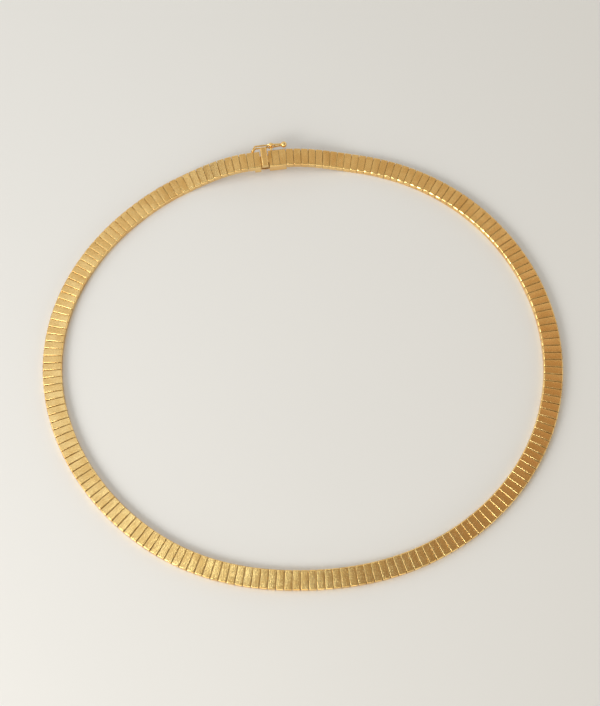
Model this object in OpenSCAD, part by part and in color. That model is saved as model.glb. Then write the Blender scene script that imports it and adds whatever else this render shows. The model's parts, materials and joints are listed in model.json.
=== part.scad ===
// Omega necklace: a flat collar of folded metal segments threaded on a woven core,
// closed by a box clasp with a sprung thumb plate and a figure-eight safety latch.
// The necklace lies on its back with the satin front facing up. Sizes are in millimetres.

/* [Band] */
// Length of the necklace along the middle of the band
necklace_length = 432; // [380:1:480]
// Width of the band
band_width = 5.5; // [4.6:0.1:7]
// Thickness of the band
band_thickness = 1.8; // [1.6:0.1:2.6]
// Length along the band from one segment to the next
segment_pitch = 2.2; // [1.8:0.1:3.2]
// Gap between neighbouring segments
seam_gap = 0.18; // [0.16:0.01:0.3]
// Thickness of the folded sheet
sheet = 0.35; // [0.25:0.05:0.45]
// Bevel along the two rims of the front
rim_bevel = 0.25; // [0.1:0.05:0.3]
// Width of the slot along the back of each segment
back_slot = 2; // [1:0.1:3]

/* [Core] */
// Space between the woven core and the folded sheet round it
core_clearance = 0.15; // [0.12:0.01:0.2]
// Depth that the core reaches into each end of the clasp
core_seat = 0.6; // [0.4:0.1:0.8]

/* [Lie] */
// Height that the clasp is held above the rest of the band
clasp_lift = 2.6; // [0:0.1:3]
// Length of band on each side of the clasp that rises to it
rise_length = 22; // [22:1:40]
// Place of the clasp round the loop, counter-clockwise from +X
clasp_angle = 99.8; // [90:0.1:110]

/* [Clasp] */
// Length of the end piece that carries the tongue
tongue_end_length = 4; // [3.6:0.1:5]
// Length of the deeper block at the end piece's inner end
tongue_block_length = 1.9; // [1.6:0.1:2.6]
// Length of the box
box_length = 5.4; // [5:0.1:7]
// Height of the box, from the front down
box_height = 3; // [2.8:0.1:3.6]
// Thickness of the box's plates
box_wall = 0.35; // [0.25:0.05:0.4]
// Height of the catch lip inside the mouth
lip_height = 0.3; // [0.25:0.05:0.35]
// Length of the catch lip along the box
lip_length = 0.3; // [0.2:0.05:0.4]
// Depth of the lines engraved across the clasp
groove_depth = 0.06; // [0.03:0.01:0.1]
// Width of the lines engraved across the clasp
groove_width = 0.12; // [0.08:0.01:0.2]

/* [Tongue] */
// Thickness of the tongue's sheet
leaf_sheet = 0.3; // [0.2:0.05:0.35]
// Space between the tongue and the box round it
tongue_clearance = 0.12; // [0.1:0.01:0.15]
// Inner radius of the fold at the tongue's end
fold_radius = 0.5; // [0.4:0.05:0.6]
// Running clearance round the bead inside the fold
fold_clearance = 0.08; // [0.05:0.01:0.1]
// Width of the leaf's neck through the mouth of the box
neck_width = 2; // [1.4:0.1:2.6]
// Length of level leaf behind its catching shoulders
level_length = 0.9; // [0.7:0.1:1.2]
// Angle between the leaf's middle and the fold's free edge
leaf_opening = 32; // [28:1:45]
// Space on each side of the upper leaf inside the lower leaf's width
leaf_side_gap = 0.1; // [0:0.05:0.3]
// Gap between the leaf's catching shoulders and the lip
catch_gap = 0.15; // [0.12:0.01:0.25]

/* [Thumb plate] */
// Length of the thumb plate along the band
thumb_length = 2; // [1.6:0.1:2.6]
// Height of the thumb plate above the front
thumb_proud = 0.85; // [0.5:0.05:1.2]
// Reach of the thumb plate past the band's outer side
thumb_overhang = 0.6; // [0.2:0.1:0.8]
// Gap between the thumb plate and the clasp on each side
thumb_gap = 0.3; // [0.25:0.05:0.4]
// Bevel along the top edges of the thumb plate
thumb_bevel = 0.35; // [0.2:0.05:0.4]

/* [Safety latch] */
// Radius of the latch wire
wire_radius = 0.25; // [0.2:0.01:0.3]
// Distance of the latch wire from the clasp's outer side
latch_standoff = 1.75; // [1.6:0.05:2.2]
// Depth of the latch's middle below the front
latch_depth = 0.6; // [0.5:0.05:0.9]
// Run of the latch's arms along the clasp, from the pin to the straight wires
arm_run = 0.85; // [0.6:0.05:1.1]
// Height of each tail wire above and below the latch's middle at the grip ball
tail_height = 0.3; // [0.2:0.05:0.4]
// Outer radius of the hinge tube
tube_radius = 0.45; // [0.4:0.01:0.5]
// Height of the hinge tube
tube_height = 0.8; // [0.6:0.1:1]
// Running clearance round the hinge pin
pin_clearance = 0.05; // [0.03:0.01:0.08]
// Space between the hinge tube's ends and the latch wire
tube_end_gap = 0.08; // [0.05:0.01:0.12]
// Radius of the ball on the post
post_ball_radius = 0.7; // [0.5:0.05:0.75]
// Radius of the post's stem
post_radius = 0.32; // [0.25:0.01:0.4]
// Space between the ball of the post and the latch's eye
eye_clearance = 0.18; // [0.16:0.01:0.3]
// Radius of the latch's grip ball
grip_radius = 0.95; // [0.7:0.05:1.1]
// Radius of the wire round the latch's eye, a little fuller than the straight wire
eye_wire_radius = 0.27; // [0.2:0.01:0.32]

/* [Hidden] */
$fn = 48;
gold = [0.86, 0.70, 0.40];
polished = [0.93, 0.79, 0.48];
mesh_gold = [0.66, 0.52, 0.28];
tiny = 0.01;

// The loop seen from above: its radius every 15 degrees counter-clockwise from +X, as shares of the mean radius.
loop_radii = [
    1.058, 1.050, 1.032, 1.009, 0.981, 0.953, 0.934, 0.940, 0.969, 0.990, 1.019, 1.046,
    1.057, 1.048, 1.027, 1.004, 0.983, 0.959, 0.944, 0.953, 0.975, 1.003, 1.031, 1.052
];
knots = len(loop_radii);
knot_step = 360 / knots;
function knot(i) = loop_radii[(i % knots + knots) % knots];
// Control values of a smooth closed curve that runs through the radii
function control(i) = knot(i) - (knot(i - 1) - 2 * knot(i) + knot(i + 1)) / 6;
function blend(a, b, c, d, t) =
    (pow(1 - t, 3) * a + (3 * pow(t, 3) - 6 * t * t + 4) * b
    + (3 * t + 3 * t * t - 3 * pow(t, 3) + 1) * c + pow(t, 3) * d) / 6;
function radius_share(angle) =
    let (at = angle / knot_step, k = floor(at))
    blend(control(k - 1), control(k), control(k + 1), control(k + 2), at - k);
function unit_point(angle) = radius_share(angle) * [cos(angle), sin(angle)];

// Distance along the loop from the clasp's middle, for a loop of mean radius 1
samples = 288;
function sample_angle(i) = clasp_angle + 360 * i / samples;
function path_sums(i = 0, total = 0, found = []) =
    i > samples ? found
    : path_sums(i + 1, total + norm(unit_point(sample_angle(i + 1)) - unit_point(sample_angle(i))),
        concat(found, [[total, sample_angle(i)]]));
path_table = path_sums();
unit_length = path_table[samples][0];
mean_radius = necklace_length / unit_length;
function wrapped(s) = s < 0 ? s + necklace_length : s >= necklace_length ? s - necklace_length : s;
function angle_at(s) = lookup(wrapped(s) / mean_radius, path_table);

// Extent of the loop, so that the middle of the whole necklace stands over the origin
latch_reach = latch_standoff + grip_radius;
top_reach = mean_radius * unit_point(clasp_angle)[1] + band_width / 2 + latch_reach;
bottom_reach = mean_radius * radius_share(270) + band_width / 2;
loop_centre = [0, (bottom_reach - top_reach) / 2];

// Plan point, heading and height of the band's middle at a distance s from the clasp's middle
probe = 0.05;
function plan_at(s) = loop_centre + mean_radius * unit_point(angle_at(s));
function direction(from, to) = atan2(to[1] - from[1], to[0] - from[0]);
function heading_at(s) = direction(plan_at(s - probe), plan_at(s + probe));
function turned(a) = a > 180 ? a - 360 : a <= -180 ? a + 360 : a;

// The clasp, from its tongue end to its box end along its own X, outer side towards +Y, front towards +Z
clasp_length = tongue_end_length + thumb_gap + thumb_length + thumb_gap + box_length;
front = band_thickness / 2;
back = front - box_height;
outer = band_width / 2;
tongue_end_left = -clasp_length / 2;
tongue_end_right = tongue_end_left + tongue_end_length;
thumb_left = tongue_end_right + thumb_gap;
thumb_right = thumb_left + thumb_length;
mouth = thumb_right + thumb_gap;
box_right = mouth + box_length;
ceiling = front - box_wall;
floor_top = back + box_wall;

// The band rises to the clasp in a smooth ramp on each side
rest_height = band_thickness / 2;
function from_clasp(s) = max(0, min(wrapped(s), necklace_length - wrapped(s)) - clasp_length / 2);
function lift_at(s) =
    from_clasp(s) >= rise_length ? 0 : clasp_lift * (1 + cos(180 * from_clasp(s) / rise_length)) / 2;
function height_at(s) = rest_height + lift_at(s);
function slope_at(s) = atan((height_at(s + probe) - height_at(s - probe)) / (2 * probe));

segment_count = round((necklace_length - clasp_length) / segment_pitch);
pitch = (necklace_length - clasp_length) / segment_count;
function seam_place(i) = clasp_length / 2 + pitch * i;

// Frames: X against the run of s, which is to the right at the clasp, Y outwards, Z up
module on_band(s) {
    translate(concat(plan_at(s), height_at(s)))
        rotate([0, 0, heading_at(s) - 180])
        rotate([0, slope_at(s), 0])
        children();
}

clasp_left_point = plan_at(clasp_length / 2);
clasp_right_point = plan_at(-clasp_length / 2);
clasp_turn = direction(clasp_left_point, clasp_right_point);
clasp_point = concat((clasp_left_point + clasp_right_point) / 2, height_at(0));
module on_clasp() {
    translate(clasp_point) rotate([0, 0, clasp_turn]) children();
}

// Turn of the band against the clasp's straight line, where it meets the clasp's ends
end_turn = max([
    for (side = [-1, 1]) abs(turned(heading_at(side * clasp_length / 2) - 180 - clasp_turn))
]);

// Room that a mitre takes from an end of the clasp, half a seam back from the band's end and parallel to it
end_cut = segment_pitch / 2;
module mitre(side) {
    on_band(side * clasp_length / 2)
        translate([side > 0 ? seam_gap / 2 - end_cut : -seam_gap / 2, -band_width, -box_height])
        cube([end_cut, 2 * band_width, 2 * box_height]);
}

// Space inside the folded sheet, and the core that fills it
hollow_width = band_width - 2 * sheet;
hollow_thickness = band_thickness - 2 * sheet;
core_width = hollow_width - 2 * core_clearance;
core_thickness = hollow_thickness - 2 * core_clearance;

// Cross-section of a segment: X outwards, Y up, closed front, slot along the back
module segment_section() {
    w = band_width / 2;
    h = band_thickness / 2;
    polygon([
        [back_slot / 2, -h],
        [w, -h],
        [w, h - rim_bevel],
        [w - rim_bevel, h],
        [-w + rim_bevel, h],
        [-w, h - rim_bevel],
        [-w, -h],
        [-back_slot / 2, -h],
        [-back_slot / 2, -h + sheet],
        [-hollow_width / 2, -h + sheet],
        [-hollow_width / 2, h - sheet],
        [hollow_width / 2, h - sheet],
        [hollow_width / 2, -h + sheet],
        [back_slot / 2, -h + sheet]
    ]);
}

// One segment, curved in plan as the band is there, so that its ends point at the curve's centre
module segment(turn) {
    bend_radius = pitch * 180 / PI / turn;
    solid_turn = turn * (pitch - seam_gap) / pitch;
    translate([0, -bend_radius, 0])
        rotate([0, 0, 90 - solid_turn / 2])
        rotate_extrude(angle = solid_turn)
        translate([bend_radius, 0])
        segment_section();
}

module segments() {
    color(gold)
        for (i = [0:segment_count - 1])
            on_band(seam_place(i + 0.5))
            segment(turned(heading_at(seam_place(i + 1)) - heading_at(seam_place(i))));
}

// The core runs through every segment and into the seats at both ends of the clasp
rings_every = 2;
core_places = concat(
    [clasp_length / 2 - core_seat],
    [for (i = [0:rings_every:segment_count - 1]) seam_place(i)],
    [necklace_length - clasp_length / 2, necklace_length - clasp_length / 2 + core_seat]
);
core_corners = [
    [core_width / 2, core_thickness / 2],
    [-core_width / 2, core_thickness / 2],
    [-core_width / 2, -core_thickness / 2],
    [core_width / 2, -core_thickness / 2]
];
function core_point(s, corner) =
    let (
        turn = heading_at(s) - 180,
        out = [-sin(turn), cos(turn)],
        along = [cos(turn), sin(turn)],
        lean = slope_at(s)
    )
    concat(plan_at(s) + corner[0] * out + corner[1] * sin(lean) * along, height_at(s) + corner[1] * cos(lean));

module core() {
    rings = len(core_places);
    color(mesh_gold)
        polyhedron(
            points = [for (s = core_places) for (c = core_corners) core_point(s, c)],
            faces = concat(
                [[0, 1, 2, 3]],
                [for (r = [0:rings - 2]) for (k = [0:3])
                    [4 * r + k, 4 * r + 4 + k, 4 * r + 4 + (k + 1) % 4, 4 * r + (k + 1) % 4]],
                [[for (k = [3:-1:0]) 4 * (rings - 1) + k]]
            )
        );
}

// A block given by its lowest corner and its highest corner
module block(low, high) {
    translate(low) cube(high - low);
}

// The seat that takes the end of the core, from the clasp's end inwards
seat_length = core_seat + core_clearance + core_width / 2 * sin(end_turn);
cavity_right = box_right - seat_length - box_wall;
module core_socket(left, right) {
    block([left, -hollow_width / 2, -hollow_thickness / 2], [right, hollow_width / 2, hollow_thickness / 2]);
}

// A fine line across the front of the clasp
module groove(x) {
    block([x - groove_width / 2, -band_width, front - groove_depth],
        [x + groove_width / 2, band_width, front + tiny]);
}

// A plate with its two long top rims bevelled, along X
module rimmed_block(left, right, bottom) {
    translate([left, 0, 0])
        rotate([90, 0, 90])
        linear_extrude(right - left)
        polygon([
            [-outer, bottom],
            [outer, bottom],
            [outer, front - rim_bevel],
            [outer - rim_bevel, front],
            [-outer + rim_bevel, front],
            [-outer, front - rim_bevel]
        ]);
}

// The fold at the tongue's far end, inside the box
fold_outer = fold_radius + leaf_sheet;
bead_radius = fold_radius - fold_clearance;
fold_x = cavity_right - tongue_clearance - fold_outer;
leaf_bottom = floor_top + tongue_clearance;
leaf_top = leaf_bottom + leaf_sheet;
fold_z = leaf_top + fold_radius;
tongue_width = band_width - 2 * box_wall - 2 * tongue_clearance;
tongue_root = 1;

module fold() {
    translate([fold_x, 0, fold_z])
        rotate([90, 0, 0])
        rotate([0, 0, 270])
        rotate_extrude(angle = fold_sweep)
        translate([fold_radius, -tongue_width / 2])
        square([leaf_sheet, tongue_width]);
}

// The hinge tube of the safety latch, upright on the outer side of the end piece
solder_depth = 0.1;
hinge_x = (tongue_end_left + tongue_end_right) / 2;
hinge_y = outer + tube_radius - solder_depth;
latch_z = front - latch_depth;
latch_y = outer + latch_standoff;

module tongue_end() {
    block_left = tongue_end_right - tongue_block_length;
    color(gold)
        difference() {
            on_clasp() tongue_end_solid(block_left);
            on_clasp() core_socket(tongue_end_left - tiny, tongue_end_left + seat_length);
            on_clasp()
                translate([hinge_x, hinge_y, latch_z])
                cylinder(r = wire_radius + pin_clearance, h = tube_height + tiny, center = true);
            on_clasp() groove(block_left);
            mitre(1);
        }
}

module tongue_end_solid(block_left) {
    rimmed_block(tongue_end_left, tongue_end_right, -front);
    block([block_left, -outer, back], [tongue_end_right, outer, 0]);
    block([tongue_end_right - tongue_root, -tongue_width / 2, leaf_bottom],
        [fold_x, tongue_width / 2, leaf_top]);
    fold();
    translate([hinge_x, hinge_y, latch_z]) cylinder(r = tube_radius, h = tube_height, center = true);
}

// The upper leaf: from its bead in the fold up to the ceiling, level to its shoulders, then a neck to the plate
level_top = ceiling - tongue_clearance;
level_bottom = level_top - leaf_sheet;
shoulder_x = mouth + lip_length + catch_gap;
knee_x = shoulder_x + level_length;
leaf_lean = atan((level_top - leaf_sheet / 2 - fold_z) / (fold_x - knee_x));
leaf_width = tongue_width - 2 * leaf_side_gap;
fold_sweep = 270 - leaf_lean - leaf_opening;
half_sheet = leaf_sheet / 2 / cos(leaf_lean);

module leaf_profile() {
    polygon([
        [fold_x, fold_z - half_sheet],
        [fold_x, fold_z + half_sheet],
        [knee_x, level_top],
        [shoulder_x, level_top],
        [shoulder_x, level_bottom],
        [knee_x, level_bottom]
    ]);
}

thumb_bottom = (level_top + level_bottom) / 2;
thumb_top = front + thumb_proud;
module thumb_plate() {
    translate([0, outer + thumb_overhang, 0])
        rotate([90, 0, 0])
        linear_extrude(band_width + thumb_overhang)
        polygon([
            [thumb_left, thumb_bottom],
            [thumb_right, thumb_bottom],
            [thumb_right, thumb_top - thumb_bevel],
            [thumb_right - thumb_bevel, thumb_top],
            [thumb_left + thumb_bevel, thumb_top],
            [thumb_left, thumb_top - thumb_bevel]
        ]);
}

module thumb_leaf() {
    color(polished)
        on_clasp()
        union() {
            translate([fold_x, 0, fold_z])
                rotate([90, 0, 0])
                cylinder(r = bead_radius, h = leaf_width, center = true);
            translate([0, leaf_width / 2, 0])
                rotate([90, 0, 0])
                linear_extrude(leaf_width)
                leaf_profile();
            block([(thumb_left + thumb_right) / 2, -neck_width / 2, level_bottom],
                [shoulder_x + tiny, neck_width / 2, level_top]);
            thumb_plate();
        }
}

// Places of the lines engraved across the box, as shares of its length
box_grooves = [0.2, 0.6];

// The post of the safety latch, on the box's outer side, with its ball just past the wire
eye_radius = post_ball_radius + eye_clearance + eye_wire_radius;
post_x = mouth + eye_radius;
post_ball_y = latch_y + post_ball_radius / 2;

module box() {
    color(gold)
        union() {
            difference() {
                on_clasp() rimmed_block(mouth, box_right, back);
                on_clasp() box_hollow();
                on_clasp() core_socket(box_right - seat_length, box_right + tiny);
                on_clasp() for (share = box_grooves) groove(mouth + box_length * share);
                mitre(-1);
            }
            on_clasp() latch_post();
        }
}

// The room inside the box, with the catch lip across its mouth and a way for the leaf's neck through the lip
module box_hollow() {
    block([mouth - tiny, -outer + box_wall, floor_top], [cavity_right, outer - box_wall, ceiling - lip_height]);
    block([mouth + lip_length, -outer + box_wall, floor_top], [cavity_right, outer - box_wall, ceiling]);
    block([mouth - tiny, -neck_width / 2 - tongue_clearance, floor_top],
        [cavity_right, neck_width / 2 + tongue_clearance, ceiling]);
}

module latch_post() {
    translate([post_x, outer - solder_depth, latch_z])
        rotate([-90, 0, 0])
        cylinder(r = post_radius, h = post_ball_y - outer + solder_depth);
    translate([post_x, post_ball_y, latch_z]) sphere(r = post_ball_radius);
}

// The latch: a pin in the tube, arms out to the eye, the eye round the post and a tail to the grip ball
wire_z = tube_height / 2 + tube_end_gap + wire_radius;
wire_reach = sqrt(pow(eye_radius, 2) - pow(wire_z, 2));
joint_radius = 1.1 * wire_radius;
grip_x = box_right - wire_radius;

// A straight wire from one point to another
module wire(from, to) {
    run = to - from;
    flat = norm([run[0], run[1]]);
    translate(from)
        rotate([0, atan2(flat, run[2]), atan2(run[1], run[0])])
        cylinder(r = wire_radius, h = norm(run));
}

module safety_latch() {
    pin = [hinge_x, hinge_y];
    elbow = [hinge_x + arm_run, latch_y];
    color(polished)
        on_clasp()
        translate([0, 0, latch_z])
        union() {
            translate(concat(pin, 0)) cylinder(r = wire_radius, h = 2 * wire_z, center = true);
            for (side = [-1, 1]) {
                translate(concat(pin, side * wire_z)) sphere(r = joint_radius);
                wire(concat(pin, side * wire_z), concat(elbow, side * wire_z));
                translate(concat(elbow, side * wire_z)) sphere(r = joint_radius);
                wire(concat(elbow, side * wire_z), [post_x - wire_reach, latch_y, side * wire_z]);
                wire([post_x + wire_reach, latch_y, side * wire_z], [grip_x, latch_y, side * tail_height]);
            }
            translate([post_x, latch_y, 0])
                rotate([90, 0, 0])
                rotate_extrude()
                translate([eye_radius, 0])
                circle(r = eye_wire_radius);
            translate([grip_x, latch_y, 0]) sphere(r = grip_radius);
        }
}

segments();
core();
tongue_end();
thumb_leaf();
box();
safety_latch();
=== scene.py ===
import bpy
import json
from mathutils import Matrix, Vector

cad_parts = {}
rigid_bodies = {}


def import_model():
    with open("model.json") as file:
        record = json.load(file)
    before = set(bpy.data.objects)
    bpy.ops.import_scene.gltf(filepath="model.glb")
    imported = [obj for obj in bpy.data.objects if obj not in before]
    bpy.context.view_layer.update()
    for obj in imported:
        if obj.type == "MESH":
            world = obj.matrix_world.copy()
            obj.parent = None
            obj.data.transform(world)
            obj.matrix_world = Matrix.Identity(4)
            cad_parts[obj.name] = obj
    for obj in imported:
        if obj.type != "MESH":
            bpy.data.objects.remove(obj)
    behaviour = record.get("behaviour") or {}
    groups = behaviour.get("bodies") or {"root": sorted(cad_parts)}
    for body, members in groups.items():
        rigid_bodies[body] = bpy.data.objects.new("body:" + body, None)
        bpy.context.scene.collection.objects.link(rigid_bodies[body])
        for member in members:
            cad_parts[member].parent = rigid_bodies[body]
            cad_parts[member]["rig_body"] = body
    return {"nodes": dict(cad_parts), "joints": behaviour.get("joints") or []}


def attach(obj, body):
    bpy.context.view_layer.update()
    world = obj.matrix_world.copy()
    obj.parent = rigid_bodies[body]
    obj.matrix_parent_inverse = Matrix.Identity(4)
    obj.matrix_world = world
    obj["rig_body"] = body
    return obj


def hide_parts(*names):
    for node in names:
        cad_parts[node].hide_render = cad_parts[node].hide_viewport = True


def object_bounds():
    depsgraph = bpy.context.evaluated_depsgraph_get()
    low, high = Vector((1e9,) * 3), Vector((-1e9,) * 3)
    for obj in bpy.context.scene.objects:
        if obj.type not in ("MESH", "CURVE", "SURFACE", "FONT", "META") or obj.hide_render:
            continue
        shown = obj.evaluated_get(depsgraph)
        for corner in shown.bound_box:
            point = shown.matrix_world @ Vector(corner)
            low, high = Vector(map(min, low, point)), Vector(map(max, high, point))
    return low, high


bl_info = {
    "name": "Omega Necklace",
    "version": (1, 0, 0),
    "blender": (4, 5, 0),
    "location": "View3D > Sidebar > Necklace",
    "description": "Dresses an omega necklace in satin and polished gold and sets it on a pale floor",
    "category": "Object",
}

import json
import random
from math import atan2, cos, pi, radians, sin

import bmesh
import bpy
from bpy.props import FloatProperty, FloatVectorProperty, IntProperty, PointerProperty
from bpy.types import Operator, Panel, PropertyGroup
from mathutils import Matrix, Vector

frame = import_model()
cad_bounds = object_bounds()

MM = 0.001
UP = Vector((0, 0, 1))
JOINTS = {joint["name"]: joint for joint in frame["joints"]}

# Faces that meet at less than this angle become one
FLAT = radians(1)
FLAT_SEGMENT = radians(4)

# Edges with more than this angle between their faces are rounded
RIM_ANGLE = radians(30)
CLASP_EDGE_ANGLE = radians(35)

# Faces with more than this angle between them lie folded on each other
FOLDED = radians(170)

# Edges with less than this angle between their faces are shaded smooth
SMOOTH_METAL = radians(50)
SMOOTH_WIRE = radians(60)

# Least share of a face's normal along a direction for the face to count as looking that way
LEVEL = 0.995
UPRIGHT = 0.97
SIDEWAYS = 0.9
DOWNWARD = 0.5

# Each end face of a segment has more corners than this, and no other face has
END_CORNERS = 12

# A face's place in its piece's list of finishes; the clasp's pieces have the engraved lines third
SATIN, POLISHED, SEAM, BACK = range(4)
ENGRAVED = 2

# How deep the satin's colour is: on the clasp, and on the box's first strip, which is painted browner as
# the shade of a recess
EVEN_TONE = 0.4
SHADED_STRIP_TONE = 2.0

# The clasp's own frame: X along the band to the box, Y outwards, Z up, from the middle of the latch's pin
CLASP_OUT = -Vector(JOINTS["thumb_press"]["axis"])
CLASP_ALONG = CLASP_OUT.cross(UP)
CLASP_TURN = atan2(-CLASP_OUT.x, CLASP_OUT.y)
CLASP = Matrix.Translation(JOINTS["latch_swing"]["pos_m"]) @ Matrix.Rotation(CLASP_TURN, 4, "Z")

# Angle round the loop from which the segments are counted, a little before the latch's pin
COUNT_START = atan2(CLASP.translation.y, CLASP.translation.x) - radians(2)


class NecklaceSizes(PropertyGroup):
    """Sizes of the finish, which lie inside the sizes of the solids."""

    merge: FloatProperty(
        name="Merge", description="Distance at which loose corners become one",
        default=0.002 * MM, unit="LENGTH")
    seam_round: FloatProperty(
        name="Seam rounding", description="Width of the polished rounding on each side of a seam",
        default=0.17 * MM, unit="LENGTH")
    seam_taper: FloatProperty(
        name="Seam taper", description="How far each side of a seam leans over it at the band's inner rim",
        default=0.06 * MM, unit="LENGTH")
    rim_round: FloatProperty(
        name="Rim rounding", description="Width of the rounding along the band's two rims",
        default=0.08 * MM, unit="LENGTH")
    shortest_rim: FloatProperty(
        name="Shortest rim", description="Length under which an edge of a segment isn't taken as its rim",
        default=1.2 * MM, unit="LENGTH")
    longest_rim: FloatProperty(
        name="Longest rim", description="Length over which an edge of a segment isn't taken as its rim",
        default=3 * MM, unit="LENGTH")
    front_depth: FloatProperty(
        name="Front depth", description="Depth of the part of a segment that counts as its front",
        default=0.4 * MM, unit="LENGTH")
    front_lean: FloatProperty(
        name="Front lean", description="Most that a corner of a segment's front is worn down, out of level",
        default=0.022 * MM, unit="LENGTH")
    wear_seed: IntProperty(
        name="Wear seed", description="Start of the random draws for the segments' wear", default=7, min=0)
    clasp_round: FloatProperty(
        name="Clasp rounding", description="Width of the rounding on the clasp's long edges",
        default=0.07 * MM, unit="LENGTH")
    core_width: FloatProperty(
        name="Core width", description="Width of the woven core over its strands",
        default=4.5 * MM, unit="LENGTH")
    core_height: FloatProperty(
        name="Core height", description="Height of the woven core over its strands",
        default=0.8 * MM, unit="LENGTH")
    core_seat: FloatProperty(
        name="Core seat", description="How far each end of the core reaches into the clasp",
        default=0.6 * MM, unit="LENGTH")
    shortest_edge: FloatProperty(
        name="Shortest edge", description="Length under which an edge of the clasp stays unrounded",
        default=0.6 * MM, unit="LENGTH")
    line_depth: FloatProperty(
        name="Line depth", description="Depth below the front that takes in the clasp's engraved lines",
        default=0.08 * MM, unit="LENGTH")
    # Painted shade: the box's satin front is browner from the latch's pin out to this distance
    box_strip: FloatProperty(
        name="Box strip", description="Distance from the latch's pin to the end of the box's browner strip",
        default=5.6 * MM, unit="LENGTH")
    strand_width: FloatProperty(
        name="Strand width", description="Width of one strand of the woven core",
        default=0.6 * MM, unit="LENGTH")
    strand_height: FloatProperty(
        name="Strand height", description="Height of a strand above the valleys beside it",
        default=0.09 * MM, unit="LENGTH")
    strand_steps: IntProperty(
        name="Strand steps", description="Number of steps over the width of one strand",
        default=4, min=2, max=8)
    core_sides: IntProperty(
        name="Core sides", description="Number of sides round the woven core", default=20, min=8, max=40)
    wire: FloatProperty(
        name="Latch wire", description="Radius of the safety latch's wire",
        default=0.25 * MM, unit="LENGTH")
    eye_wire: FloatProperty(
        name="Eye wire", description="Radius of the wire round the latch's eye",
        default=0.27 * MM, unit="LENGTH")
    arm_height: FloatProperty(
        name="Arm height", description="Height of each arm above and below the middle of the latch's pin",
        default=0.73 * MM, unit="LENGTH")
    arm_run: FloatProperty(
        name="Arm run", description="Run of the arms along the clasp, from the pin to the straight wires",
        default=0.85 * MM, unit="LENGTH")
    tail_height: FloatProperty(
        name="Tail height", description="Height of each tail wire where it enters the grip ball",
        default=0.3 * MM, unit="LENGTH")
    grip: FloatProperty(
        name="Grip ball", description="Radius of the latch's grip ball",
        default=0.95 * MM, unit="LENGTH")
    wire_bend: FloatProperty(
        name="Wire bend", description="Length of wire that a bend takes up on each side of its corner",
        default=0.3 * MM, unit="LENGTH")
    crown_depth: FloatProperty(
        name="Crown depth", description="Depth below the top of the eye that takes in its highest corners",
        default=0.02 * MM, unit="LENGTH")
    wire_sides: IntProperty(
        name="Wire sides", description="Number of sides round each wire", default=16, min=8, max=32)
    eye_steps: IntProperty(
        name="Eye steps", description="Number of steps round the latch's eye", default=40, min=12, max=64)
    ball_sides: IntProperty(
        name="Ball sides", description="Number of sides round the grip ball", default=32, min=8, max=64)


class NecklaceColours(PropertyGroup):
    """Colours of the gold in its several finishes."""

    pale: FloatVectorProperty(
        name="Pale gold", description="Satin gold at its palest",
        default=(0.88, 0.54, 0.20), size=3, subtype="COLOR", min=0, max=1)
    deep: FloatVectorProperty(
        name="Deep gold", description="Satin gold at its deepest",
        default=(0.72, 0.37, 0.10), size=3, subtype="COLOR", min=0, max=1)
    polished: FloatVectorProperty(
        name="Polished gold", description="Rims, bevels, wires and balls",
        default=(0.98, 0.70, 0.30), size=3, subtype="COLOR", min=0, max=1)
    # Tarnish is also the lighter end of the painted shade in the engraved lines
    tarnish: FloatVectorProperty(
        name="Tarnish", description="Gold in the grain, in the woven valleys and beside the engraved lines",
        default=(0.40, 0.23, 0.08), size=3, subtype="COLOR", min=0, max=1)
    # The engraved lines' near-black colour is painted shade in the grooves
    line: FloatVectorProperty(
        name="Engraved line", description="Dirt in the lines engraved across the clasp",
        default=(0.10, 0.05, 0.02), size=3, subtype="COLOR", min=0, max=1)
    woven: FloatVectorProperty(
        name="Woven gold", description="Strands of the core",
        default=(0.66, 0.46, 0.20), size=3, subtype="COLOR", min=0, max=1)


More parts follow.
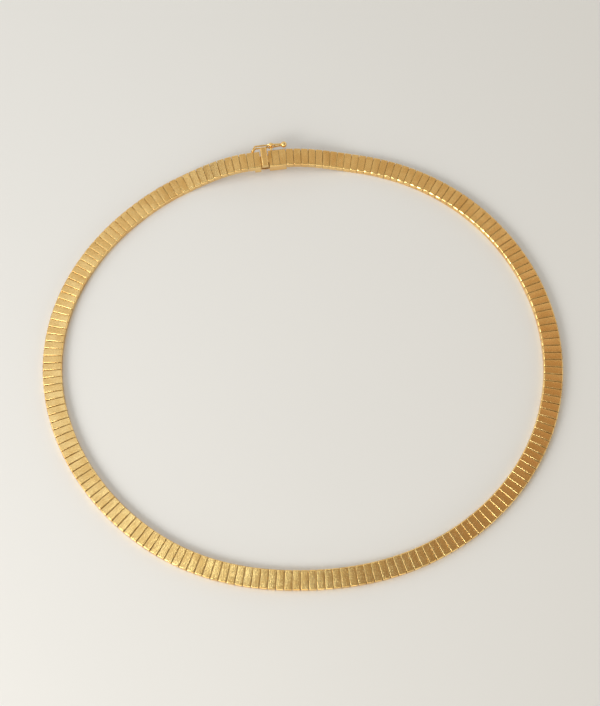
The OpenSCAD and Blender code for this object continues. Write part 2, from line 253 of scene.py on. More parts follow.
class StageSettings(PropertyGroup):
    """Floor, lights and camera."""

    floor: FloatVectorProperty(
        name="Floor", description="Colour of the pale floor",
        default=(0.82, 0.81, 0.82), size=3, subtype="COLOR", min=0, max=1)
    floor_reach: FloatProperty(
        name="Floor reach", description="Distance from the middle of the floor to its edges",
        default=3.0, unit="LENGTH")
    floor_gap: FloatProperty(
        name="Floor gap", description="Distance from the underside of the band down to the floor",
        default=0.02 * MM, unit="LENGTH")
    room: FloatVectorProperty(
        name="Room", description="Colour of the light from all round",
        default=(1.0, 0.93, 0.77), size=3, subtype="COLOR", min=0, max=1)
    ceiling_strength: FloatProperty(
        name="Ceiling strength", description="Strength of the light from above", default=0.29, min=0)
    wall_strength: FloatProperty(
        name="Wall strength", description="Strength of the light from the walls round the floor",
        default=0.95, min=0)
    wall_top: FloatProperty(
        name="Wall top", description="Angle above the floor at which the walls' light has faded",
        default=radians(48), subtype="ANGLE")
    key_light: FloatProperty(
        name="Key light", description="Power of the soft light above the left of the loop",
        default=0.3, unit="POWER")
    low_left_light: FloatProperty(
        name="Lower left light", description="Power of the small light that brightens the lower left",
        default=0.066, unit="POWER")
    back_light: FloatProperty(
        name="Back light", description="Power of the soft light behind the clasp",
        default=0.16, unit="POWER")
    right_light: FloatProperty(
        name="Right light", description="Power of the warm light above the right",
        default=0.034, unit="POWER")
    window_light: FloatProperty(
        name="Window light", description="Power of the wide low light at the left",
        default=1.2, unit="POWER")
    front_light: FloatProperty(
        name="Front light", description="Power of the bright light at the front left",
        default=1.7, unit="POWER")
    low_front_light: FloatProperty(
        name="Low front light", description="Power of the low light in front of the band",
        default=0.35, unit="POWER")
    aim: FloatVectorProperty(
        name="Aim", description="Point on the floor at the middle of the picture",
        default=(-0.75 * MM, 1.02 * MM, 0), size=3, subtype="TRANSLATION", unit="LENGTH")
    distance: FloatProperty(
        name="Camera distance", description="Distance from the aim point to the camera",
        default=367 * MM, unit="LENGTH")
    elevation: FloatProperty(
        name="Elevation", description="Angle of the camera above the floor",
        default=radians(70), subtype="ANGLE")
    lens: FloatProperty(
        name="Lens", description="Focal length in millimetres, for 36 mm on the picture's long side",
        default=64.3, min=10)


def sizes():
    """The sizes of the finish that are set in the scene."""
    return bpy.context.scene.necklace_sizes


def colours():
    """The colours that are set in the scene."""
    return bpy.context.scene.necklace_colours


# Materials

class Paint:
    """A node material in the making, on one metal shader."""

    def __init__(self, name, metallic=1.0, roughness=0.3):
        self.material = bpy.data.materials.new(name)
        self.material.use_nodes = True
        self.tree = self.material.node_tree
        self.shader = self.tree.nodes["Principled BSDF"]
        self.shader.inputs["Metallic"].default_value = metallic
        self.shader.inputs["Roughness"].default_value = roughness

    def link(self, source, target):
        self.tree.links.new(source, target)

    def attribute(self, name, output="Vector"):
        """A value that the mesh carries at each of its corners."""
        node = self.tree.nodes.new("ShaderNodeAttribute")
        node.attribute_name = name
        return node.outputs[output]

    def place(self):
        """Place on the piece, in metres."""
        return self.tree.nodes.new("ShaderNodeTexCoord").outputs["Object"]

    def stretched(self, vector, scale, turn=0.0):
        """Coordinates scaled on each axis and turned about the upright one."""
        node = self.tree.nodes.new("ShaderNodeMapping")
        node.inputs["Scale"].default_value = scale
        node.inputs["Rotation"].default_value = (0, 0, turn)
        self.link(vector, node.inputs["Vector"])
        return node.outputs["Vector"]

    def noise(self, vector, scale=1.0, detail=2, roughness=0.5):
        """Soft random pattern, with values spread about a half."""
        node = self.tree.nodes.new("ShaderNodeTexNoise")
        node.inputs["Scale"].default_value = scale
        node.inputs["Detail"].default_value = detail
        node.inputs["Roughness"].default_value = roughness
        self.link(vector, node.inputs["Vector"])
        return node.outputs["Fac"]

    def spots(self, vector, scale=1.0):
        """Distance to the nearest of many scattered points."""
        node = self.tree.nodes.new("ShaderNodeTexVoronoi")
        node.inputs["Scale"].default_value = scale
        self.link(vector, node.inputs["Vector"])
        return node.outputs["Distance"]

    def spread(self, value, low, high, to_low=0.0, to_high=1.0):
        """The range from low to high stretched over that from to_low to to_high, with the rest cut off."""
        node = self.tree.nodes.new("ShaderNodeMapRange")
        node.inputs["From Min"].default_value = low
        node.inputs["From Max"].default_value = high
        node.inputs["To Min"].default_value = to_low
        node.inputs["To Max"].default_value = to_high
        self.link(value, node.inputs["Value"])
        return node.outputs["Result"]

    def sum(self, *values, operation="ADD"):
        """All values added, or joined by another operation."""
        total = values[0]
        for value in values[1:]:
            node = self.tree.nodes.new("ShaderNodeMath")
            node.operation = operation
            self.link(total, node.inputs[0])
            if isinstance(value, float):
                node.inputs[1].default_value = value
            else:
                self.link(value, node.inputs[1])
            total = node.outputs["Value"]
        return total

    def mix(self, factor, first, second):
        """The first colour where the factor is 0 and the second where it is 1."""
        node = self.tree.nodes.new("ShaderNodeMix")
        node.data_type = "RGBA"
        self.link(factor, node.inputs["Factor"])
        for socket, colour in ((node.inputs["A"], first), (node.inputs["B"], second)):
            if isinstance(colour, bpy.types.NodeSocket):
                self.link(colour, socket)
            else:
                socket.default_value = (*colour, 1)
        return node.outputs["Result"]

    def bump(self, height, strength, depth):
        """Fine relief, for the shading alone."""
        node = self.tree.nodes.new("ShaderNodeBump")
        node.inputs["Strength"].default_value = strength
        node.inputs["Distance"].default_value = depth
        self.link(height, node.inputs["Height"])
        self.link(node.outputs["Normal"], self.shader.inputs["Normal"])

    def colour(self, socket):
        self.link(socket, self.shader.inputs["Base Color"])

    def gloss(self, socket):
        self.link(socket, self.shader.inputs["Roughness"])


def made_once(make):
    """The material of that name, made on its first use."""
    def find():
        return bpy.data.materials.get(make.__name__) or make()
    return find


@made_once
def satin_finish():
    """Fronts: fine brush lines across the band, mottled grain, a few scratches and pits."""
    paint = Paint("satin_finish", roughness=0.4)
    lay = paint.attribute("lay")
    tone = paint.attribute("tone", "Fac")
    patches = paint.noise(lay, scale=0.25, detail=3)
    mottle = paint.noise(lay, scale=4.0, detail=5, roughness=0.7)
    grain = paint.noise(lay, scale=7, detail=4, roughness=0.6)
    brush = paint.noise(paint.stretched(lay, (0.6, 9, 1)), detail=4, roughness=0.65)
    scratch = paint.noise(paint.stretched(lay, (0.35, 6, 1), turn=radians(38)))
    cut = paint.spread(scratch, 0.68, 0.74)
    pit = paint.spread(paint.spots(lay, scale=0.9), 0.06, 0.12, 1.0, 0.0)
    # The tone attribute deepens the gold; on the box's first strip it carries painted shade
    depth = paint.sum(
        paint.spread(patches, 0.35, 0.65, 0.0, 0.4), paint.spread(mottle, 0.35, 0.65, -0.1, 0.4),
        paint.spread(brush, 0.3, 0.7, -0.15, 0.25), paint.spread(tone, 0.0, 2.0, -0.1, 0.45))
    gold = paint.mix(depth, colours().pale, colours().deep)
    flecked = paint.mix(paint.spread(mottle, 0.42, 0.3, 0.0, 0.55), gold, colours().tarnish)
    paint.colour(paint.mix(paint.sum(cut, pit, operation="MAXIMUM"), flecked, colours().polished))
    paint.gloss(paint.sum(
        paint.spread(mottle, 0.35, 0.65, 0.21, 0.32), paint.spread(patches, 0.3, 0.7, -0.03, 0.05)))
    height = paint.sum(
        paint.spread(mottle, 0.0, 1.0, 0.0, 1.2), paint.spread(brush, 0.0, 1.0, 0.0, 0.5),
        paint.spread(grain, 0.0, 1.0, 0.0, 0.3),
        paint.spread(cut, 0.0, 1.0, 0.0, -0.4), paint.spread(pit, 0.0, 1.0, 0.0, -0.6))
    paint.bump(height, strength=1.0, depth=0.014 * MM)
    return paint.material


@made_once
def polished_finish():
    """Rims, bevels, wires and balls: bright, with faint wear."""
    paint = Paint("polished_finish", roughness=0.14)
    place = paint.place()
    wear = paint.noise(place, scale=900, detail=4, roughness=0.6)
    cloud = paint.noise(place, scale=160)
    paint.colour(paint.mix(paint.spread(cloud, 0.35, 0.7, 0.0, 0.45), colours().polished, colours().deep))
    paint.gloss(paint.spread(wear, 0.3, 0.75, 0.1, 0.26))
    paint.bump(wear, strength=0.15, depth=0.01 * MM)
    return paint.material


@made_once
def seam_finish():
    """Walls of the seams: bright gold, paler and duller in patches."""
    paint = Paint("seam_finish")
    place = paint.place()
    stain = paint.noise(place, scale=500, detail=4, roughness=0.6)
    paint.colour(paint.mix(paint.spread(stain, 0.35, 0.75), colours().polished, colours().pale))
    paint.gloss(paint.spread(stain, 0.3, 0.7, 0.22, 0.4))
    paint.bump(paint.noise(place, scale=2500, detail=3), strength=0.2, depth=0.01 * MM)
    return paint.material


@made_once
def tarnished_finish():
    """The lines engraved across the clasp: dull and dark, as painted shade in the grooves."""
    paint = Paint("tarnished_finish", metallic=0.2)
    stain = paint.noise(paint.place(), scale=1500, detail=3)
    paint.colour(paint.mix(paint.spread(stain, 0.35, 0.7), colours().line, colours().tarnish))
    paint.gloss(paint.spread(stain, 0.3, 0.7, 0.4, 0.55))
    return paint.material


@made_once
def back_finish():
    """Backs and inner walls: plain polished gold, a little dulled by wear."""
    paint = Paint("back_finish", roughness=0.26)
    place = paint.place()
    rub = paint.noise(place, scale=700, detail=5, roughness=0.65)
    cloud = paint.noise(place, scale=120, detail=3)
    paint.colour(paint.mix(paint.spread(cloud, 0.3, 0.7, 0.1, 0.75), colours().polished, colours().deep))
    paint.gloss(paint.spread(rub, 0.3, 0.7, 0.2, 0.38))
    paint.bump(rub, strength=0.2, depth=0.01 * MM)
    return paint.material


@made_once
def woven_finish():
    """The core's strands, tarnished in the valleys between them."""
    paint = Paint("woven_finish", roughness=0.4)
    lay = paint.attribute("lay")
    ridge = paint.attribute("tone", "Fac")
    twist = paint.noise(lay, scale=9, detail=3)
    paint.colour(paint.mix(paint.spread(ridge, 0.15, 0.8), colours().tarnish, colours().woven))
    paint.gloss(paint.spread(twist, 0.3, 0.7, 0.3, 0.5))
    paint.bump(twist, strength=0.3, depth=0.02 * MM)
    return paint.material


@made_once
def pale_floor():
    """Plain pale floor."""
    paint = Paint("pale_floor", metallic=0.0, roughness=0.6)
    tint = bpy.context.scene.necklace_stage.floor
    cloud = paint.noise(paint.place(), scale=6)
    paint.colour(paint.mix(paint.spread(cloud, 0.3, 0.7), tint, [0.985 * part for part in tint]))
    return paint.material


# Shaping

def packed_copy(node, flat_angle=FLAT):
    """A CAD node's shape as one clean mesh: doubles merged and flat faces whole."""
    mesh = bmesh.new()
    mesh.from_mesh(frame["nodes"][node].data)
    bmesh.ops.remove_doubles(mesh, verts=mesh.verts, dist=sizes().merge)
    bmesh.ops.dissolve_limit(mesh, angle_limit=flat_angle, verts=mesh.verts, edges=mesh.edges)
    return mesh


def once_each(items):
    """The items in the order in which they come, each of them once."""
    return list(dict.fromkeys(items))


def loose_parts(mesh):
    """Lists of the vertices of each separate solid in a mesh."""
    seen = set()
    parts = []
    for start in mesh.verts:
        if start in seen:
            continue
        seen.add(start)
        part = [start]
        for vert in part:
            for edge in vert.link_edges:
                other = edge.other_vert(vert)
                if other not in seen:
                    seen.add(other)
                    part.append(other)
        parts.append(part)
    return parts


def round_edges(mesh, edges, width):
    """Rounds edges over two steps."""
    bmesh.ops.bevel(
        mesh, geom=edges, offset=width, offset_type="OFFSET", segments=2, profile=0.5,
        affect="EDGES", clamp_overlap=False, material=-1)


def clean_up(mesh):
    """Merges what a bevel left double, and closes the slivers that it folded over the face beside them."""
    bmesh.ops.remove_doubles(mesh, verts=mesh.verts, dist=sizes().merge)
    folds = [edge for edge in mesh.edges if edge.calc_face_angle(0) > FOLDED]
    bmesh.ops.collapse(mesh, edges=folds)
    mesh.normal_update()


def finished(mesh, name, node, materials):
    """Makes a mesh the piece that stands for a CAD node, and puts it on that node's body."""
    data = bpy.data.meshes.new(name)
    bmesh.ops.recalc_face_normals(mesh, faces=mesh.faces)
    mesh.to_mesh(data)
    mesh.free()
    for material in materials:
        data.materials.append(material)
    piece = bpy.data.objects.new(name, data)
    bpy.context.scene.collection.objects.link(piece)
    even = piece.modifiers.new("even_shading", "WEIGHTED_NORMAL")
    even.keep_sharp = True
    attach(piece, frame["nodes"][node]["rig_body"])
    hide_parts(node)


def shade(mesh, smooth_angle):
    """Smooth faces, with the edges between flat faces kept sharp."""
    for face in mesh.faces:
        face.smooth = True
    for edge in mesh.edges:
        edge.smooth = edge.calc_face_angle(0) < smooth_angle


class Seat:
    """Where one segment sits: its middle, and its directions along the band, outwards and up."""

    def __init__(self, part):
        faces = once_each(face for vert in part for face in vert.link_faces)
        ends = [face for face in faces if len(face.verts) > END_CORNERS]
        first, last = (face.calc_center_median_weighted() for face in ends)
        self.ends = ends
        self.middle = (first + last) / 2
        self.along = (last - first).normalized()
        if self.along.cross(self.middle).z > 0:
            self.along.negate()
        self.out = self.along.cross(UP).normalized()
        self.up = self.out.cross(self.along)
        self.turn = (atan2(self.middle.y, self.middle.x) - COUNT_START) % (2 * pi)

    def local(self, point):
        """A point in the segment's own directions: outwards, along the band and up."""
        offset = point - self.middle
        return Vector((offset.dot(self.out), offset.dot(self.along), offset.dot(self.up)))


def segment_seats(mesh):
    """The seats of all segments in order round the loop, each with the vertices of its segment."""
    pairs = [(Seat(part), part) for part in loose_parts(mesh)]
    return sorted(pairs, key=lambda pair: pair[0].turn)


def seats_with_parts(mesh, seats):
    """The seats found before the bevel, each with its segment's vertices after it."""
    parts = loose_parts(mesh)
    middles = [sum((vert.co for vert in part), Vector()) / len(part) for part in parts]
    return [
        (seat, parts[min(range(len(parts)), key=lambda i: (middles[i] - seat.middle).length_squared)])
        for seat, part in seats
    ]


def stations():
    """Arc length, middle and directions of each segment, from the first beside the clasp to the last."""
    mesh = packed_copy("segments", FLAT_SEGMENT)
    seats = [seat for seat, part in segment_seats(mesh)]
    mesh.free()
    run = 0.0
    places = []
    for index, seat in enumerate(seats):
        if index:
            run += (seat.middle - seats[index - 1].middle).length
        places.append((run, seat))
    return places


# Pieces

class NECKLACE_OT_segments(Operator):
    """Round the seams of every segment and give the fronts a satin finish"""
    bl_idname = "necklace.segments"
    bl_label = "Segments"

    def execute(self, context):
        mesh = packed_copy("segments", FLAT_SEGMENT)
        lay = mesh.verts.layers.float_vector.new("lay")
        tone = mesh.verts.layers.float.new("tone")
        dice = random.Random(sizes().wear_seed)
        seats = segment_seats(mesh)
        if not seats:
            raise RuntimeError("the band has no segments")
        seam_edges = []
        pitch = (seats[1][0].middle - seats[0][0].middle).length
        for seat, part in seats:
            front = max(seat.local(vert.co).z for vert in part)
            self.wear(seat, part, front, dice)
            for edge in once_each(edge for face in seat.ends for edge in face.edges):
                if min(seat.local(vert.co).z for vert in edge.verts) > front - sizes().front_depth:
                    seam_edges.append(edge)
        round_edges(mesh, seam_edges, sizes().seam_round)
        rim_edges = [
            edge for edge in mesh.edges if edge.is_convex and edge.calc_face_angle(0) > RIM_ANGLE
            and sizes().shortest_rim < edge.calc_length() < sizes().longest_rim
        ]
        round_edges(mesh, rim_edges, sizes().rim_round)
        clean_up(mesh)
        for index, (seat, part) in enumerate(seats_with_parts(mesh, seats)):
            shadow = dice.random()
            for vert in part:
                across, along, up = seat.local(vert.co)
                vert[lay] = (across / MM, (index * pitch + along) / MM, up / MM)
                vert[tone] = shadow
            self.paint(seat, part)
        shade(mesh, SMOOTH_METAL)
        finished(mesh, "band_segments", "segments",
                 (satin_finish(), polished_finish(), seam_finish(), back_finish()))
        return {"FINISHED"}

    def wear(self, seat, part, front, dice):
        """Narrows the seams towards the inner rim and sinks the front a little towards one corner.

        The tilt lies between -2, where a corner stays up, and 2, where it sinks by the whole lean.
        """
        lean_across = dice.uniform(-1, 1)
        lean_along = dice.uniform(-1, 1)
        places = {vert: seat.local(vert.co) for vert in part}
        half_width = max(place.x for place in places.values())
        half_length = max(place.y for place in places.values())
        for vert, (across, along, up) in places.items():
            inward = 0.5 - across / half_width / 2
            vert.co += seat.along * sizes().seam_taper * inward * along / half_length
            if up > front - sizes().front_depth:
                tilt = lean_across * across / half_width + lean_along * along / half_length
                vert.co.z -= sizes().front_lean * (tilt + 2) / 4

    def paint(self, seat, part):
        """Gives each face of a segment its finish by the way that it faces."""
        for face in once_each(face for vert in part for face in vert.link_faces):
            across, along, up = (face.normal.dot(way) for way in (seat.out, seat.along, seat.up))
            if up > LEVEL:
                face.material_index = SATIN
            elif abs(along) > UPRIGHT:
                face.material_index = SEAM
            elif up < -DOWNWARD or self.looks_inside(face, seat, across):
                face.material_index = BACK
            else:
                face.material_index = POLISHED

    def looks_inside(self, face, seat, across):
        """Whether a face is on the inner side of the fold, looking towards the segment's middle."""
        return abs(across) > SIDEWAYS and seat.local(face.calc_center_median()).x * across < 0


class NECKLACE_OT_core(Operator):
    """Weave the flat core that the segments are threaded on"""
    bl_idname = "necklace.core"
    bl_label = "Woven core"

    def execute(self, context):
        places = stations()
        if len(places) < 2:
            raise RuntimeError("the core has nothing to run through")
        low, high = self.reach(places)
        half_width, half_height = sizes().core_width / 2, sizes().core_height / 2
        rim = 4 * (half_width + half_height)
        rings = int((high - low) / sizes().strand_width * sizes().strand_steps)
        sides = sizes().core_sides
        mesh = bmesh.new()
        bmesh.ops.create_grid(mesh, x_segments=rings, y_segments=sides, size=0.5)
        lay = mesh.verts.layers.float_vector.new("lay")
        tone = mesh.verts.layers.float.new("tone")
        for vert in mesh.verts:
            run = low + (vert.co.x + 0.5) * (high - low)
            girth = (vert.co.y + 0.5) * rim
            across, up, outward = self.on_rim(girth, half_width, half_height)
            ridge = abs(sin(pi * (run + abs(across)) / sizes().strand_width))
            sink = sizes().strand_height * (1 - ridge)
            middle, out, rise = self.at(places, run)
            vert.co = middle + out * across + rise * (up - outward * sink)
            vert[lay] = (across / MM, run / MM, up / MM)
            vert[tone] = ridge
        bmesh.ops.remove_doubles(mesh, verts=mesh.verts, dist=sizes().merge)
        bmesh.ops.holes_fill(mesh, edges=[edge for edge in mesh.edges if edge.is_boundary], sides=sides + 1)
        shade(mesh, SMOOTH_WIRE)
        finished(mesh, "woven_core", "core", (woven_finish(),))
        return {"FINISHED"}

    def reach(self, places):
        """Arc lengths of the core's two ends, each inside its end of the clasp."""
        overhang = (places[1][0] - places[0][0]) / 2 + sizes().core_seat
        return -overhang, places[-1][0] + overhang

    def on_rim(self, girth, half_width, half_height):
        """A point round the core's flat section, from the middle of its back, and which way is outward."""
        width, height = 2 * half_width, 2 * half_height
        if girth <= half_width:
            return girth, -half_height, -1
        girth -= half_width
        if girth <= height:
            return half_width, girth - half_height, 0
        girth -= height
        if girth <= width:
            return half_width - girth, half_height, 1
        girth -= width
        if girth <= height:
            return -half_width, half_height - girth, 0
        return girth - height - half_width, -half_height, -1

    def at(self, places, run):
        """The band's middle at an arc length, between two segments, and the directions outwards and up."""
        step = places[1][0] - places[0][0]
        index = max(0, min(len(places) - 2, int(run / step)))
        while index < len(places) - 2 and run > places[index + 1][0]:
            index += 1
        while index > 0 and run < places[index][0]:
            index -= 1
        (before, near), (after, far) = places[index], places[index + 1]
        share = (run - before) / (after - before)
        if share < 0:
            return near.middle + near.along * (run - before), near.out, near.up
        if share > 1:
            return far.middle + far.along * (run - after), far.out, far.up
        return (near.middle.lerp(far.middle, share),
                near.out.lerp(far.out, share).normalized(), near.up.lerp(far.up, share).normalized())


def clasp_piece(node, name, shade_strip_edge=None):
    """A solid of the clasp with its long edges rounded, satin on its front and polished elsewhere."""
    size = sizes()
    mesh = packed_copy(node)
    long_edges = [
        edge for edge in mesh.edges
        if edge.is_convex and edge.calc_face_angle(0) > CLASP_EDGE_ANGLE
        and edge.calc_length() > size.shortest_edge
        and min(face.calc_area() for face in edge.link_faces) > size.shortest_edge ** 2
    ]
    round_edges(mesh, long_edges, size.clasp_round)
    clean_up(mesh)
    lay = mesh.verts.layers.float_vector.new("lay")
    tone = mesh.verts.layers.float.new("tone")
    into_clasp = CLASP.inverted()
    for vert in mesh.verts:
        along, across, up = into_clasp @ vert.co
        vert[lay] = (across / MM, along / MM, up / MM)
        vert[tone] = EVEN_TONE
    front = max(face.calc_center_median().z for face in mesh.faces
                if face.normal.z > LEVEL and face.calc_area() > size.shortest_edge ** 2)
    for face in mesh.faces:
        depth = front - face.calc_center_median().z
        level = face.normal.z > LEVEL
        # Faces of the engraved lines take the dark finish of painted groove shade
        engraved = size.line_depth / 4 < depth < size.line_depth and (
            level or abs(face.normal.dot(CLASP_ALONG)) > UPRIGHT)
        if engraved:
            face.material_index = ENGRAVED
        elif level:
            face.material_index = SATIN
        else:
            face.material_index = POLISHED
        # Painted shade: the level faces of the box's first strip take the deeper tone
        if level and shade_strip_edge and (into_clasp @ face.calc_center_median()).x < shade_strip_edge:
            for vert in face.verts:
                vert[tone] = SHADED_STRIP_TONE
    shade(mesh, SMOOTH_METAL)
    finished(mesh, name, node, (satin_finish(), polished_finish(), tarnished_finish()))


class NECKLACE_OT_clasp_ends(Operator):
    """Finish the clasp's two soldered ends: the tongue's and the box"""
    bl_idname = "necklace.clasp_ends"
    bl_label = "Clasp ends"

    def execute(self, context):
        clasp_piece("tongue_end", "tongue_end_piece")
        # The box gets painted shade on its first strip
        clasp_piece("box", "clasp_box", sizes().box_strip)
        return {"FINISHED"}


class NECKLACE_OT_thumb_plate(Operator):
    """Finish the sprung leaf with its raised thumb plate"""
    bl_idname = "necklace.thumb_plate"
    bl_label = "Thumb plate"

    def execute(self, context):
        clasp_piece("thumb_leaf", "thumb_plate_leaf")
        return {"FINISHED"}


def add_tube(mesh, path, radius, sides):
    """A closed round wire along a path of points."""
    steps = len(path)
    rings = []
    side = None
    for index, point in enumerate(path):
        ahead = (path[min(index + 1, steps - 1)] - path[max(index - 1, 0)]).normalized()
        side = side or ahead.orthogonal()
        side = (side - ahead * side.dot(ahead)).normalized()
        rings.append((point, side, ahead.cross(side)))
    grid = bmesh.ops.create_grid(mesh, x_segments=steps - 1, y_segments=sides, size=0.5)["verts"]
    for vert in grid:
        point, right, top = rings[round((vert.co.x + 0.5) * (steps - 1))]
        angle = 2 * pi * (vert.co.y + 0.5)
        vert.co = point + radius * (cos(angle) * right + sin(angle) * top)
    doubles = bmesh.ops.find_doubles(mesh, verts=grid, dist=sizes().merge)["targetmap"]
    bmesh.ops.weld_verts(mesh, targetmap=doubles)
    open_edges = [edge for edge in mesh.edges if edge.is_boundary]
    bmesh.ops.holes_fill(mesh, edges=open_edges, sides=sides)


def bent(corners, bend, steps=6):
    """The path through the corners with each inner corner bent round."""
    path = [corners[0]]
    for before, corner, after in zip(corners, corners[1:], corners[2:]):
        start = corner + (before - corner).normalized() * bend
        end = corner + (after - corner).normalized() * bend
        for step in range(steps + 1):
            share = step / steps
            path.append(start.lerp(corner, share).lerp(corner.lerp(end, share), share))
    return path + [corners[-1]]


class NECKLACE_OT_safety_latch(Operator):
    """Bend the figure-eight safety latch from wire, with its grip ball"""
    bl_idname = "necklace.safety_latch"
    bl_label = "Safety latch"

    def execute(self, context):
        size = sizes()
        into_clasp = CLASP.inverted()
        corners = [into_clasp @ vert.co for vert in frame["nodes"]["safety_latch"].data.vertices]
        grip = Vector((max(c.x for c in corners) - size.grip, max(c.y for c in corners) - size.grip, 0))
        top = max(c.z for c in corners)
        eye_radius = top - size.eye_wire
        crown = [c.x for c in corners if c.z > top - size.crown_depth]
        eye = Vector((sum(crown) / len(crown), grip.y, 0))
        reach = (eye_radius ** 2 - size.arm_height ** 2) ** 0.5
        mesh = bmesh.new()
        for way in (-1, 1):
            arm = UP * way * size.arm_height
            elbow = Vector((size.arm_run, grip.y, 0)) + arm
            entry = Vector((eye.x - reach, grip.y, 0)) + arm
            add_tube(mesh, bent([Vector(), arm, elbow, entry], size.wire_bend), size.wire, size.wire_sides)
            leave = Vector((eye.x + reach, grip.y, 0)) + arm
            tail = grip + UP * way * size.tail_height
            add_tube(mesh, [leave, leave.lerp(tail, 0.5), tail], size.wire, size.wire_sides)
        self.add_eye(mesh, eye, eye_radius)
        bmesh.ops.create_uvsphere(
            mesh, u_segments=size.ball_sides, v_segments=size.ball_sides // 2, radius=size.grip,
            matrix=Matrix.Translation(grip))
        bmesh.ops.transform(mesh, matrix=CLASP, verts=mesh.verts)
        shade(mesh, SMOOTH_WIRE)
        finished(mesh, "latch_wire", "safety_latch", (polished_finish(),))
        return {"FINISHED"}

    def add_eye(self, mesh, eye, eye_radius):
        """The ring round the post, spun from a circle of wire."""
        size = sizes()
        start = Matrix.Translation(eye + Vector((eye_radius, 0, 0)))
        ring = bmesh.ops.create_circle(
            mesh, segments=size.wire_sides, radius=size.eye_wire, matrix=start)["verts"]
        edges = once_each(edge for vert in ring for edge in vert.link_edges)
        bmesh.ops.spin(
            mesh, geom=edges, cent=eye, axis=(0, 1, 0), angle=2 * pi, steps=size.eye_steps, use_merge=True)


# Stage

# Each light's name, middle, width, height and colour, in millimetres; all face the middle of the loop
LIGHTS = (
    ("key_light", (-165, 130, 500), 260, 260, (0.57, 0.76, 1.0)),
    ("low_left_light", (-62, 22, 500), 30, 30, (0.62, 0.86, 1.0)),
    ("back_light", (40, 345, 500), 520, 200, (0.92, 1.0, 1.0)),
    ("right_light", (170, 150, 500), 200, 200, (1.0, 0.45, 0.15)),
    ("window_light", (-550, -170, 305), 650, 250, (1.0, 0.98, 0.9)),
    ("front_light", (-400, -380, 345), 310, 250, (1.0, 0.99, 0.94)),
    ("low_front_light", (-40, -800, 140), 700, 100, (1.0, 0.98, 0.9)),
)


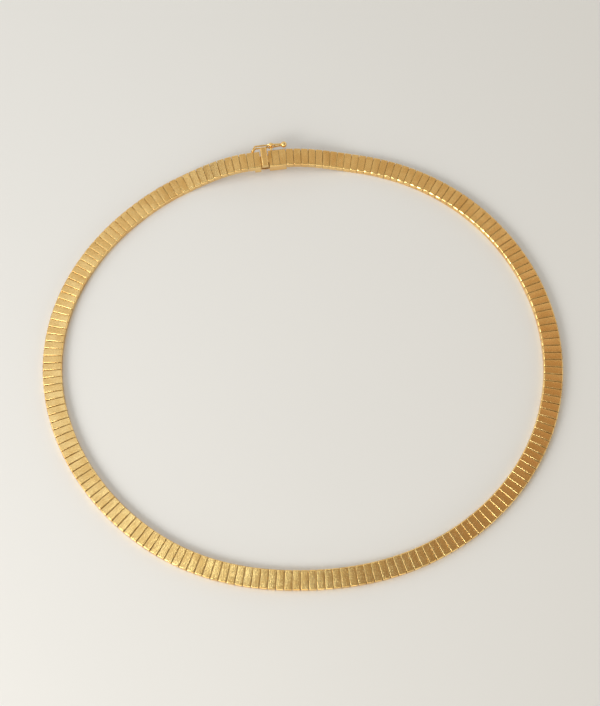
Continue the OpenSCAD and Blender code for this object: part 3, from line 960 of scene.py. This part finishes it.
class NECKLACE_OT_stage(Operator):
    """Lay the pale floor and set the lights and the camera"""
    bl_idname = "necklace.stage"
    bl_label = "Stage"

    def execute(self, context):
        stage = context.scene.necklace_stage
        self.add_camera(stage)
        self.add_floor(stage)
        self.add_room(stage)
        context.scene.view_settings.view_transform = "Standard"
        for name, place, width, height, colour in LIGHTS:
            self.add_light(name, Vector(place) * MM, width * MM, height * MM, getattr(stage, name), colour)
        return {"FINISHED"}

    def add_camera(self, stage):
        data = bpy.data.cameras.new("photo_camera")
        data.lens = stage.lens
        data.sensor_width = 36
        data.clip_start = 0.01
        camera = bpy.data.objects.new("photo_camera", data)
        back = Vector((0, -cos(stage.elevation), sin(stage.elevation)))
        camera.location = Vector(stage.aim) + back * stage.distance
        camera.rotation_euler = (pi / 2 - stage.elevation, 0, 0)
        bpy.context.scene.collection.objects.link(camera)
        bpy.context.scene.camera = camera

    def add_floor(self, stage):
        mesh = bmesh.new()
        bmesh.ops.create_grid(mesh, x_segments=1, y_segments=1, size=stage.floor_reach)
        data = bpy.data.meshes.new("floor")
        mesh.to_mesh(data)
        mesh.free()
        data.materials.append(pale_floor())
        floor = bpy.data.objects.new("floor", data)
        bpy.context.scene.collection.objects.link(floor)
        floor.location.z = min(0.0, cad_bounds[0][2]) - stage.floor_gap

    def add_room(self, stage):
        """Light from all round, brighter from the walls than from above."""
        world = bpy.data.worlds.new("soft_room")
        world.use_nodes = True
        tree = world.node_tree
        way = tree.nodes.new("ShaderNodeTexCoord").outputs["Generated"]
        split = tree.nodes.new("ShaderNodeSeparateXYZ")
        tree.links.new(way, split.inputs["Vector"])
        rise = tree.nodes.new("ShaderNodeMapRange")
        rise.inputs["From Min"].default_value = sin(stage.wall_top) / 2
        rise.inputs["From Max"].default_value = sin(stage.wall_top)
        rise.inputs["To Min"].default_value = stage.wall_strength
        rise.inputs["To Max"].default_value = stage.ceiling_strength
        tree.links.new(split.outputs["Z"], rise.inputs["Value"])
        ground = tree.nodes["Background"]
        ground.inputs["Color"].default_value = (*stage.room, 1)
        tree.links.new(rise.outputs["Result"], ground.inputs["Strength"])
        bpy.context.scene.world = world

    def add_light(self, name, place, width, height, power, colour):
        data = bpy.data.lights.new(name, "AREA")
        data.shape = "RECTANGLE"
        data.size = width
        data.size_y = height
        data.energy = power
        data.color = colour
        light = bpy.data.objects.new(name, data)
        light.location = place
        light.rotation_euler = (-place).to_track_quat("-Z", "Y").to_euler()
        bpy.context.scene.collection.objects.link(light)


OPERATORS = (
    NECKLACE_OT_stage,
    NECKLACE_OT_segments,
    NECKLACE_OT_core,
    NECKLACE_OT_clasp_ends,
    NECKLACE_OT_thumb_plate,
    NECKLACE_OT_safety_latch,
)


class NECKLACE_PT_panel(Panel):
    """Buttons and settings of the necklace"""
    bl_idname = "NECKLACE_PT_panel"
    bl_label = "Omega Necklace"
    bl_space_type = "VIEW_3D"
    bl_region_type = "UI"
    bl_category = "Necklace"

    def draw(self, context):
        for operator in OPERATORS:
            self.layout.operator(operator.bl_idname)
        for group in (context.scene.necklace_sizes, context.scene.necklace_colours,
                      context.scene.necklace_stage):
            box = self.layout.box()
            for name in group.__annotations__:
                box.prop(group, name)


GROUPS = {
    "necklace_sizes": NecklaceSizes,
    "necklace_colours": NecklaceColours,
    "necklace_stage": StageSettings,
}
CLASSES = (*GROUPS.values(), *OPERATORS, NECKLACE_PT_panel)


def register():
    for cls in CLASSES:
        bpy.utils.register_class(cls)
    for name, group in GROUPS.items():
        setattr(bpy.types.Scene, name, PointerProperty(type=group))


def unregister():
    for name in GROUPS:
        delattr(bpy.types.Scene, name)
    for cls in reversed(CLASSES):
        bpy.utils.unregister_class(cls)


def main():
    register()
    bpy.ops.necklace.stage()
    bpy.ops.necklace.segments()
    bpy.ops.necklace.core()
    bpy.ops.necklace.clasp_ends()
    bpy.ops.necklace.thumb_plate()
    bpy.ops.necklace.safety_latch()


if __name__ == "__main__":
    main()
